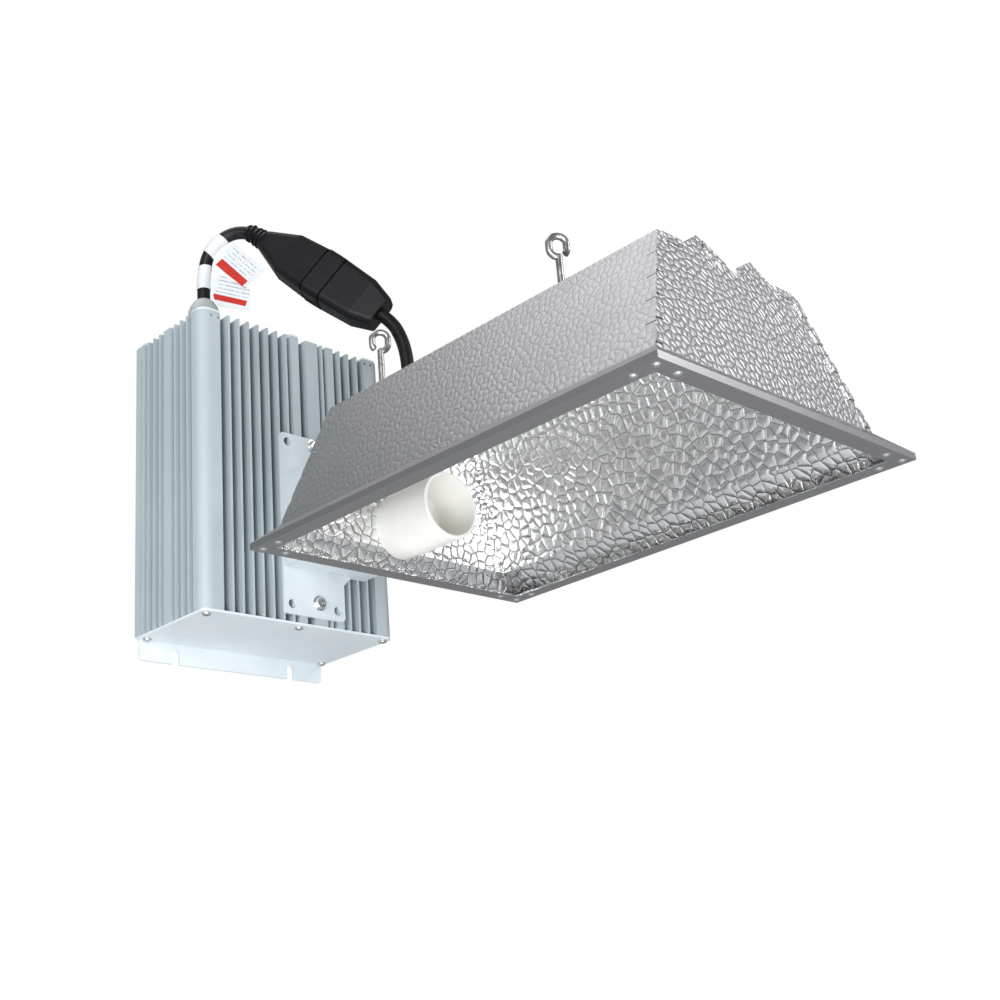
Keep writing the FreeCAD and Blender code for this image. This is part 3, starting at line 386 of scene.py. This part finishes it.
def hood_look(place, facing):
    x, y, z = place.axes()
    nx, ny = facing.axes()[:2]
    centre = place.node("VectorMath", {"operation": "SUBTRACT"}, {0: place, 1: hood_middle})
    inward = centre.node("VectorMath", {"operation": "DOT_PRODUCT"}, {0: centre, 1: facing}, 1)
    inside = 1.0 - inward.ease(-0.002, 0.002)
    on_wall = abs(ny).ease(0.70, 0.75)
    on_end = abs(nx).ease(0.70, 0.75)
    u = x + on_end * (y - x)
    v = y + on_wall.most(on_end) * (z - y)
    flat = place.node("CombineXYZ", {}, {0: u, 1: v})
    above = z - hood_low.z
    plain = 1.0 - above.ease(skirt_height - 0.003, skirt_height)
    broad, broad_top = hammered(flat, 0.0086)
    fine, fine_top = hammered(flat, 0.0058)
    pebble = fine + inside * (broad - fine)
    outside_plain = (1.0 - inside) * plain
    height = pebble * (1.0 - outside_plain)
    depth_scale = (0.13 + on_end * 0.20) * (1.0 - inside) + inside * 0.62
    brushed = place.node("TexNoise", {}, {
        "Vector": place.node("VectorMath", {"operation": "MULTIPLY"},
                             {0: place, 1: (60.0, 2600.0, 2600.0)}), "Scale": 1.0})
    cloud = place.grain(26.0, 4.0)
    # Painted shade in the outer pebbles' valleys, and painted light on the end panels' outer faces.
    valley_shade_and_end_light = (fine_top * (0.16 + on_end * 0.24) + (0.84 - on_end * 0.24)).most(outside_plain)
    valley_shade_and_end_light = valley_shade_and_end_light * (0.80 + on_end * 0.20)
    duller = valley_shade_and_end_light.blend((0.10, 0.098, 0.100, 1), (0.47, 0.463, 0.470, 1))
    # Painted shade in the inner pebbles' valleys.
    shiny = broad_top.blend((0.30, 0.30, 0.30, 1), (0.88, 0.88, 0.88, 1))
    bright = inside.blend(duller, shiny)
    return {"Base Color": bright,
            "Roughness": 0.38 - inside * 0.22 + cloud * 0.10,
            "Normal": (height * depth_scale).dent(0.0011, brushed.dent(0.00002))}


hammered_sheet = finish("hammered_aluminium", {"Metallic": 1.0}, hood_look)
coat(hammered_sheet, "hood_body", "hood_end_ballast_side", "hood_end_far_side")


def gusset_look(place, facing):
    cloud = place.grain(60.0, 4.0)
    return {"Base Color": cloud.blend((0.50, 0.50, 0.51, 1), (0.66, 0.66, 0.67, 1)),
            "Roughness": 0.28 + cloud * 0.2}


coat(finish("plain_aluminium", {"Metallic": 1.0}, gusset_look), "corner_gussets", "rim_rivets")


# --- Lamp socket -------------------------------------------------------------
# Cream glazed ceramic: a base screwed to the end panel and an open cup.
def ceramic_look(place, facing):
    cloud = place.grain(40.0, 4.0)
    speck = place.grain(900.0, 1.0).ease(0.72, 0.8)
    return {"Base Color": (cloud.ease(0.3, 0.8) + speck * 0.5).blend((0.94, 0.93, 0.89, 1),
                                                                     (0.90, 0.88, 0.82, 1)),
            "Roughness": 0.30 + cloud * 0.18,
            "Normal": place.grain(350.0, 2.0).dent(0.00010)}


coat(finish("glazed_ceramic", {"Subsurface Weight": 0.08, "Subsurface Scale": 0.004},
            ceramic_look), "socket_spacer", "socket_base", "socket_shell")


# --- Eye bolts ---------------------------------------------------------------
# Bent wire eyes with threaded shanks, bright plated.  Each one goes through
# the roof, with a nut and a washer above it and below it.
def eye_look(place, facing):
    cloud = place.grain(180.0, 3.0)
    return {"Base Color": cloud.ease(0.3, 0.75).blend((0.34, 0.34, 0.33, 1), (0.62, 0.62, 0.60, 1)),
            "Roughness": 0.18 + cloud * 0.2,
            "Normal": place.grain(1600.0, 2.0).dent(0.00006)}


coat(finish("bright_steel", {"Metallic": 1.0}, eye_look), "eye_bolt_near_left",
     "eye_bolt_near_right", "eye_bolt_far_left", "eye_bolt_far_right")


# --- Labels ------------------------------------------------------------------
# White film wrapped round the lead, its two ends stuck together as a flag
# with a red band along one edge and plain grey ruled rows.
lead_x = 0.075
lead_y = -0.07
plate_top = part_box("ballast_top_plate")[1].z


def film_look(lean, band, rows, span):
    """Film in the lead's upright plane, measured in millimetres from where the lead rises."""
    def look(place, facing):
        x, y, z = place.axes()
        out = (x - lead_x) * 769.0 + (y - lead_y) * 639.3
        up = (z - plate_top) * 1000.0
        across = out * math.sin(lean) + up * math.cos(lean)
        along = out * math.cos(lean) - up * math.sin(lean)
        within = along.ease(span[0] - 0.4, span[0]) * (1.0 - along.ease(span[1], span[1] + 0.4))
        red = (across.ease(band[0] - 0.2, band[0] + 0.2)
               * (1.0 - across.ease(band[1] - 0.2, band[1] + 0.2)) * within)
        step = (across - rows[0]) * (1.0 / 3.7)
        stripe = step.sum("FRACT", step)
        gaps = place.grain(420.0, 2.0).ease(0.42, 0.50)
        ruled = (stripe.ease(0.02, 0.12) * (1.0 - stripe.ease(0.26, 0.40)) * gaps
                 * across.ease(rows[0] - 0.1, rows[0]) * (1.0 - across.ease(rows[1], rows[1] + 0.1))
                 * within)
        cloud = place.grain(120.0, 2.0)
        film = cloud.blend((0.66, 0.69, 0.71, 1), (0.78, 0.80, 0.82, 1))
        marked = (ruled * 0.75).blend(film, (0.22, 0.24, 0.27, 1))
        ink = cloud.blend((0.46, 0.015, 0.008, 1), (0.56, 0.03, 0.012, 1))
        return {"Base Color": red.blend(marked, ink),
                "Roughness": 0.28 + cloud * 0.12}
    return look


coat(finish("lower_flag", {}, film_look(0.363, (28.4, 34.0), (36.0, 60.0), (-12.0, 20.2))),
     "label_lower")
coat(finish("upper_flag", {}, film_look(0.846, (44.6, 52.6), (54.6, 69.5), (-44.0, -9.6))),
     "label_upper")


# --- Studio ------------------------------------------------------------------
# A pale floor under the lamp, soft boxes, and an even pale surround.
floor_mesh = bpy.data.meshes.new("floor")
sketch = bmesh.new()
bmesh.ops.create_grid(sketch, x_segments=1, y_segments=1, size=12.0)
bmesh.ops.translate(sketch, verts=sketch.verts, vec=(0.0, 0.0, -0.95))
sketch.to_mesh(floor_mesh)
sketch.free()


def floor_look(place, facing):
    cloud = place.grain(3.0, 2.0)
    return {"Base Color": cloud.blend((0.82, 0.82, 0.82, 1), (0.85, 0.85, 0.85, 1)),
            "Roughness": 0.6 + cloud * 0.1}


floor_mesh.materials.append(finish("studio_floor", {}, floor_look))
floor = bpy.data.objects.new("floor", floor_mesh)
scene.collection.objects.link(floor)

target = Vector((0.30, 0.0, 0.0))
for name, spot, size, power in (("key", (1.5, -1.9, 0.1), 1.1, 36.0),
                                ("under", (0.95, -0.5, -0.8), 0.8, 13.0),
                                ("top", (-0.3, -0.6, 1.9), 1.2, 12.0),
                                ("far", (1.75, 1.05, 0.85), 0.30, 7.0)):
    lamp = bpy.data.lights.new(name, "AREA")
    lamp.size = size
    lamp.energy = power
    lamp.color = (0.97, 0.985, 1.0)
    light = bpy.data.objects.new(name, lamp)
    light.location = spot
    light.rotation_euler = (Vector(spot) - target).to_track_quat("Z", "Y").to_euler()
    scene.collection.objects.link(light)

world = bpy.data.worlds.new("surround")
world.use_nodes = True
scene.world = world
tree = world.node_tree
ray = tree.nodes.new("ShaderNodeLightPath")
mix = tree.nodes.new("ShaderNodeMixShader")
seen = tree.nodes.new("ShaderNodeBackground")
seen.inputs["Color"].default_value = (1.0, 1.0, 1.0, 1)
around = tree.nodes["Background"]
around.inputs["Color"].default_value = (0.50, 0.52, 0.54, 1)
around.inputs["Strength"].default_value = 0.6
tree.links.new(ray.outputs["Is Camera Ray"], mix.inputs[0])
tree.links.new(around.outputs[0], mix.inputs[1])
tree.links.new(seen.outputs[0], mix.inputs[2])
tree.links.new(mix.outputs[0], tree.nodes["World Output"].inputs["Surface"])
